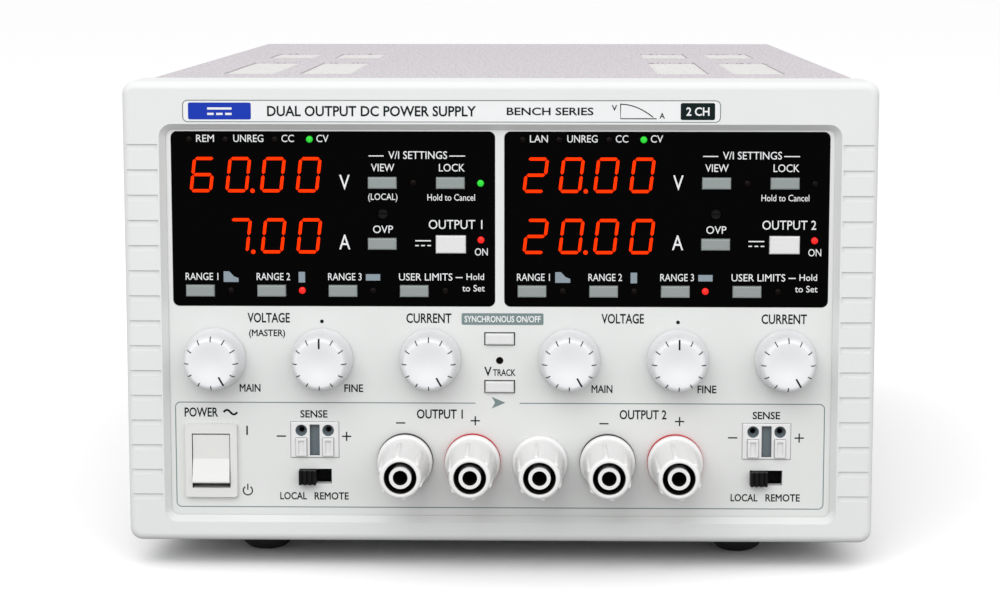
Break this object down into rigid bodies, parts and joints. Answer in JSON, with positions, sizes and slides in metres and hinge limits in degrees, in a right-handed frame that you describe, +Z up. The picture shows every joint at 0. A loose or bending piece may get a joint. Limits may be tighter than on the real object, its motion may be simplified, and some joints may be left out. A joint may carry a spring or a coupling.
{
  "type": "bench power supply",
  "caption": "Dual output bench power supply with digit displays, push buttons, turning knobs, screw terminals, sense clamps, a power rocker and a rear fan in a painted steel case.",
  "frame": {"origin": "under the middle of the bounding box, on the bench", "axes": "+X to the right as seen from the front, +Y from the front to the back, +Z up"},
  "size_m": [0.21, 0.361, 0.138],
  "materials": {
    "bezel_plastic": "fine moulded texture",
    "panel_plastic": "fine moulded texture",
    "window_black": "polished",
    "display_board": "dark laminate with lamp blocks",
    "cover_paint": "speckled powder coat",
    "vent_mesh": "powder coated perforated sheet",
    "chassis_steel": "zinc plated",
    "foot_rubber": "matte",
    "post_plastic": "moulded insulator",
    "collar_plastic": "coloured rings, red, black and white",
    "sense_plastic": "moulded",
    "switch_plastic": "white rocker frame, black slide switch bodies",
    "board_laminate": "green laminate",
    "pot_metal": "plated can",
    "heat_sink_metal": "black anodised",
    "winding_core": "varnished",
    "fan_plastic": "moulded",
    "guard_wire": "plated wire",
    "inlet_plastic": "moulded",
    "connector_shell": "nickel plated",
    "screw_steel": "zinc plated",
    "button_grey": "grey green key",
    "button_white": "off white key",
    "knob_white": "fine moulded texture",
    "cap_white": "moulded",
    "lever_plastic": "moulded",
    "slider_black": "ribbed",
    "rocker_white": "moulded",
    "trimmer_white": "slotted preset",
    "impeller_plastic": "moulded"
  },
  "bodies": {
    "case": {"front_bezel": "bezel_plastic", "front_panel": "panel_plastic", "display_windows": "window_black", "display_modules": "display_board", "top_cover": "cover_paint", "vent_screens": "vent_mesh", "base_chassis": "chassis_steel", "rubber_feet": "foot_rubber", "terminal_posts": "post_plastic", "terminal_collars": "collar_plastic", "sense_housings": "sense_plastic", "switch_housings": "switch_plastic", "circuit_boards": "board_laminate", "potentiometers": "pot_metal", "heat_sinks": "heat_sink_metal", "power_components": "winding_core", "fan_housing": "fan_plastic", "fan_guard": "guard_wire", "mains_inlet": "inlet_plastic", "rear_connectors": "connector_shell", "case_screws": "screw_steel"},
    "view_button_1": {"view_button_1": "button_grey"},
    "lock_button_1": {"lock_button_1": "button_grey"},
    "ovp_button_1": {"ovp_button_1": "button_grey"},
    "output_button_1": {"output_button_1": "button_white"},
    "range_low_button_1": {"range_low_button_1": "button_grey"},
    "range_mid_button_1": {"range_mid_button_1": "button_grey"},
    "range_high_button_1": {"range_high_button_1": "button_grey"},
    "limits_button_1": {"limits_button_1": "button_grey"},
    "view_button_2": {"view_button_2": "button_grey"},
    "lock_button_2": {"lock_button_2": "button_grey"},
    "ovp_button_2": {"ovp_button_2": "button_grey"},
    "output_button_2": {"output_button_2": "button_white"},
    "range_low_button_2": {"range_low_button_2": "button_grey"},
    "range_mid_button_2": {"range_mid_button_2": "button_grey"},
    "range_high_button_2": {"range_high_button_2": "button_grey"},
    "limits_button_2": {"limits_button_2": "button_grey"},
    "sync_button": {"sync_button": "button_white"},
    "track_button": {"track_button": "button_white"},
    "main_knob_1": {"main_knob_1": "knob_white"},
    "fine_knob_1": {"fine_knob_1": "knob_white"},
    "current_knob_1": {"current_knob_1": "knob_white"},
    "main_knob_2": {"main_knob_2": "knob_white"},
    "fine_knob_2": {"fine_knob_2": "knob_white"},
    "current_knob_2": {"current_knob_2": "knob_white"},
    "terminal_cap_1": {"terminal_cap_1": "cap_white"},
    "terminal_cap_2": {"terminal_cap_2": "cap_white"},
    "terminal_cap_3": {"terminal_cap_3": "cap_white"},
    "terminal_cap_4": {"terminal_cap_4": "cap_white"},
    "terminal_cap_5": {"terminal_cap_5": "cap_white"},
    "sense_lever_minus_1": {"sense_lever_minus_1": "lever_plastic"},
    "sense_lever_plus_1": {"sense_lever_plus_1": "lever_plastic"},
    "sense_lever_minus_2": {"sense_lever_minus_2": "lever_plastic"},
    "sense_lever_plus_2": {"sense_lever_plus_2": "lever_plastic"},
    "sense_slider_1": {"sense_slider_1": "slider_black"},
    "sense_slider_2": {"sense_slider_2": "slider_black"},
    "ovp_trimmer_1": {"ovp_trimmer_1": "trimmer_white"},
    "ovp_trimmer_2": {"ovp_trimmer_2": "trimmer_white"},
    "power_rocker": {"power_rocker": "rocker_white"},
    "fan_impeller": {"fan_impeller": "impeller_plastic"}
  },
  "joints": [
    {"name": "view_button_1_press", "type": "slide", "parent": "case", "child": "view_button_1", "axis": [0, 1, 0], "range_m": [0, 0.0008], "stiffness_N_per_m": 600, "springref_m": -0.002},
    {"name": "lock_button_1_press", "type": "slide", "parent": "case", "child": "lock_button_1", "axis": [0, 1, 0], "range_m": [0, 0.0008], "stiffness_N_per_m": 600, "springref_m": -0.002},
    {"name": "ovp_button_1_press", "type": "slide", "parent": "case", "child": "ovp_button_1", "axis": [0, 1, 0], "range_m": [0, 0.0008], "stiffness_N_per_m": 600, "springref_m": -0.002},
    {"name": "output_button_1_press", "type": "slide", "parent": "case", "child": "output_button_1", "axis": [0, 1, 0], "range_m": [0, 0.0008], "stiffness_N_per_m": 600, "springref_m": -0.002},
    {"name": "range_low_button_1_press", "type": "slide", "parent": "case", "child": "range_low_button_1", "axis": [0, 1, 0], "range_m": [0, 0.0008], "stiffness_N_per_m": 600, "springref_m": -0.002},
    {"name": "range_mid_button_1_press", "type": "slide", "parent": "case", "child": "range_mid_button_1", "axis": [0, 1, 0], "range_m": [0, 0.0008], "stiffness_N_per_m": 600, "springref_m": -0.002},
    {"name": "range_high_button_1_press", "type": "slide", "parent": "case", "child": "range_high_button_1", "axis": [0, 1, 0], "range_m": [0, 0.0008], "stiffness_N_per_m": 600, "springref_m": -0.002},
    {"name": "limits_button_1_press", "type": "slide", "parent": "case", "child": "limits_button_1", "axis": [0, 1, 0], "range_m": [0, 0.0008], "stiffness_N_per_m": 600, "springref_m": -0.002},
    {"name": "view_button_2_press", "type": "slide", "parent": "case", "child": "view_button_2", "axis": [0, 1, 0], "range_m": [0, 0.0008], "stiffness_N_per_m": 600, "springref_m": -0.002},
    {"name": "lock_button_2_press", "type": "slide", "parent": "case", "child": "lock_button_2", "axis": [0, 1, 0], "range_m": [0, 0.0008], "stiffness_N_per_m": 600, "springref_m": -0.002},
    {"name": "ovp_button_2_press", "type": "slide", "parent": "case", "child": "ovp_button_2", "axis": [0, 1, 0], "range_m": [0, 0.0008], "stiffness_N_per_m": 600, "springref_m": -0.002},
    {"name": "output_button_2_press", "type": "slide", "parent": "case", "child": "output_button_2", "axis": [0, 1, 0], "range_m": [0, 0.0008], "stiffness_N_per_m": 600, "springref_m": -0.002},
    {"name": "range_low_button_2_press", "type": "slide", "parent": "case", "child": "range_low_button_2", "axis": [0, 1, 0], "range_m": [0, 0.0008], "stiffness_N_per_m": 600, "springref_m": -0.002},
    {"name": "range_mid_button_2_press", "type": "slide", "parent": "case", "child": "range_mid_button_2", "axis": [0, 1, 0], "range_m": [0, 0.0008], "stiffness_N_per_m": 600, "springref_m": -0.002},
    {"name": "range_high_button_2_press", "type": "slide", "parent": "case", "child": "range_high_button_2", "axis": [0, 1, 0], "range_m": [0, 0.0008], "stiffness_N_per_m": 600, "springref_m": -0.002},
    {"name": "limits_button_2_press", "type": "slide", "parent": "case", "child": "limits_button_2", "axis": [0, 1, 0], "range_m": [0, 0.0008], "stiffness_N_per_m": 600, "springref_m": -0.002},
    {"name": "sync_button_press", "type": "slide", "parent": "case", "child": "sync_button", "axis": [0, 1, 0], "range_m": [0, 0.0008], "stiffness_N_per_m": 600, "springref_m": -0.002},
    {"name": "track_button_press", "type": "slide", "parent": "case", "child": "track_button", "axis": [0, 1, 0], "range_m": [0, 0.0008], "stiffness_N_per_m": 600, "springref_m": -0.002},
    {"name": "main_knob_1_turn", "type": "hinge", "parent": "case", "child": "main_knob_1", "pos_m": [-0.0802, -0.155, 0.06], "axis": [0, 1, 0], "range_deg": [-300, 0]},
    {"name": "fine_knob_1_turn", "type": "hinge", "parent": "case", "child": "fine_knob_1", "pos_m": [-0.05, -0.155, 0.06], "axis": [0, 1, 0], "range_deg": [-150, 150]},
    {"name": "current_knob_1_turn", "type": "hinge", "parent": "case", "child": "current_knob_1", "pos_m": [-0.01955, -0.155, 0.06], "axis": [0, 1, 0], "range_deg": [-300, 0]},
    {"name": "main_knob_2_turn", "type": "hinge", "parent": "case", "child": "main_knob_2", "pos_m": [0.01955, -0.155, 0.06], "axis": [0, 1, 0], "range_deg": [-300, 0]},
    {"name": "fine_knob_2_turn", "type": "hinge", "parent": "case", "child": "fine_knob_2", "pos_m": [0.05, -0.155, 0.06], "axis": [0, 1, 0], "range_deg": [-150, 150]},
    {"name": "current_knob_2_turn", "type": "hinge", "parent": "case", "child": "current_knob_2", "pos_m": [0.0802, -0.155, 0.06], "axis": [0, 1, 0], "range_deg": [-300, 0]},
    {"name": "terminal_cap_1_unscrew", "type": "slide", "parent": "case", "child": "terminal_cap_1", "axis": [0, -1, 0], "range_m": [0, 0.004]},
    {"name": "terminal_cap_2_unscrew", "type": "slide", "parent": "case", "child": "terminal_cap_2", "axis": [0, -1, 0], "range_m": [0, 0.004]},
    {"name": "terminal_cap_3_unscrew", "type": "slide", "parent": "case", "child": "terminal_cap_3", "axis": [0, -1, 0], "range_m": [0, 0.004]},
    {"name": "terminal_cap_4_unscrew", "type": "slide", "parent": "case", "child": "terminal_cap_4", "axis": [0, -1, 0], "range_m": [0, 0.004]},
    {"name": "terminal_cap_5_unscrew", "type": "slide", "parent": "case", "child": "terminal_cap_5", "axis": [0, -1, 0], "range_m": [0, 0.004]},
    {"name": "sense_lever_minus_1_press", "type": "slide", "parent": "case", "child": "sense_lever_minus_1", "axis": [0, 1, 0], "range_m": [0, 0.0015], "stiffness_N_per_m": 600, "springref_m": -0.002},
    {"name": "sense_lever_plus_1_press", "type": "slide", "parent": "case", "child": "sense_lever_plus_1", "axis": [0, 1, 0], "range_m": [0, 0.0015], "stiffness_N_per_m": 600, "springref_m": -0.002},
    {"name": "sense_lever_minus_2_press", "type": "slide", "parent": "case", "child": "sense_lever_minus_2", "axis": [0, 1, 0], "range_m": [0, 0.0015], "stiffness_N_per_m": 600, "springref_m": -0.002},
    {"name": "sense_lever_plus_2_press", "type": "slide", "parent": "case", "child": "sense_lever_plus_2", "axis": [0, 1, 0], "range_m": [0, 0.0015], "stiffness_N_per_m": 600, "springref_m": -0.002},
    {"name": "sense_slider_1_slide", "type": "slide", "parent": "case", "child": "sense_slider_1", "axis": [1, 0, 0], "range_m": [0, 0.0042]},
    {"name": "sense_slider_2_slide", "type": "slide", "parent": "case", "child": "sense_slider_2", "axis": [1, 0, 0], "range_m": [0, 0.0042]},
    {"name": "ovp_trimmer_1_turn", "type": "hinge", "parent": "case", "child": "ovp_trimmer_1", "pos_m": [-0.03275, -0.155, 0.10095], "axis": [0, 1, 0], "range_deg": [-150, 150]},
    {"name": "ovp_trimmer_2_turn", "type": "hinge", "parent": "case", "child": "ovp_trimmer_2", "pos_m": [0.06035, -0.155, 0.10095], "axis": [0, 1, 0], "range_deg": [-150, 150]},
    {"name": "power_rocker_tip", "type": "hinge", "parent": "case", "child": "power_rocker", "pos_m": [-0.0816, -0.1522, 0.0309], "axis": [1, 0, 0], "range_deg": [0, 16]},
    {"name": "fan_spin", "type": "hinge", "parent": "case", "child": "fan_impeller", "pos_m": [-0.045, 0.1623, 0.073], "axis": [0, 1, 0], "continuous": true}
  ]
}
